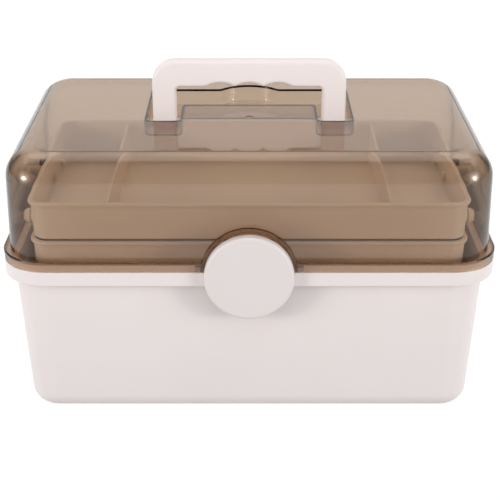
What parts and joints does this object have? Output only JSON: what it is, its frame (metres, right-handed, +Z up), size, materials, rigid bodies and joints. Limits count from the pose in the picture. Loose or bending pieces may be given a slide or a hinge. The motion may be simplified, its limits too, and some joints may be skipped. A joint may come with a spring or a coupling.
{
  "type": "medicine storage box",
  "caption": "White lidded storage box with a tinted clear hinged lid, lift-up trays on swing arms, a folding carry handle and a round front clasp.",
  "frame": {"origin": "on the floor under the middle of the box's outline", "axes": "+Z up, -Y towards the clasp at the front, +X to the right seen from the front"},
  "size_m": [0.33, 0.2164, 0.2317],
  "materials": {
    "white_plastic": "satin moulded",
    "tinted_lid": "clear tinted",
    "tray_plastic": "satin moulded",
    "pin_steel": "plain"
  },
  "bodies": {
    "base": {"base_tub": "white_plastic", "base_arm_rivets": "white_plastic", "lid_hinge_pin_left": "pin_steel", "lid_hinge_pin_right": "pin_steel"},
    "lid": {"lid_cover": "tinted_lid", "handle_pin_left": "pin_steel", "handle_pin_right": "pin_steel", "latch_hinge_pin": "pin_steel", "lid_tray_pin_left": "white_plastic", "lid_tray_pin_right": "white_plastic"},
    "handle": {"carry_handle": "white_plastic"},
    "latch": {"latch_button": "white_plastic"},
    "front_arms": {"front_arm_left": "white_plastic", "front_arm_right": "white_plastic"},
    "rear_arms": {"rear_arm_left": "white_plastic", "rear_arm_right": "white_plastic"},
    "lower_tray": {"lower_tray": "tray_plastic", "lower_tray_rivets": "white_plastic"},
    "upper_tray": {"upper_tray": "tray_plastic", "upper_tray_rivets": "white_plastic"}
  },
  "joints": [
    {"name": "lid_hinge", "type": "hinge", "parent": "base", "child": "lid", "pos_m": [0, 0.10525, 0.109], "axis": [-1, 0, 0], "range_deg": [0, 100]},
    {"name": "handle_fold", "type": "hinge", "parent": "lid", "child": "handle", "pos_m": [0, -0.0127, 0.1841], "axis": [-1, 0, 0], "range_deg": [0, 90]},
    {"name": "latch_flip", "type": "hinge", "parent": "lid", "child": "latch", "pos_m": [0, -0.1042, 0.136], "axis": [-1, 0, 0], "range_deg": [0, 60]},
    {"name": "front_arm_swing", "type": "hinge", "parent": "base", "child": "front_arms", "pos_m": [0, -0.004, 0.109], "axis": [-1, 0, 0], "range_deg": [0, 100]},
    {"name": "rear_arm_swing", "type": "hinge", "parent": "base", "child": "rear_arms", "pos_m": [0, 0.066, 0.109], "axis": [-1, 0, 0], "range_deg": [0, 100]},
    {"name": "lower_tray_level", "type": "hinge", "parent": "front_arms", "child": "lower_tray", "pos_m": [0, -0.034, 0.124], "axis": [-1, 0, 0], "range_deg": [-100, 0]},
    {"name": "upper_tray_level", "type": "hinge", "parent": "front_arms", "child": "upper_tray", "pos_m": [0, -0.064, 0.139], "axis": [-1, 0, 0], "range_deg": [-100, 0]}
  ],
  "couplings": [
    {"joint": "front_arm_swing", "follows": "lid_hinge", "ratio": 1},
    {"joint": "rear_arm_swing", "follows": "lid_hinge", "ratio": 1},
    {"joint": "lower_tray_level", "follows": "lid_hinge", "ratio": -1},
    {"joint": "upper_tray_level", "follows": "lid_hinge", "ratio": -1}
  ]
}
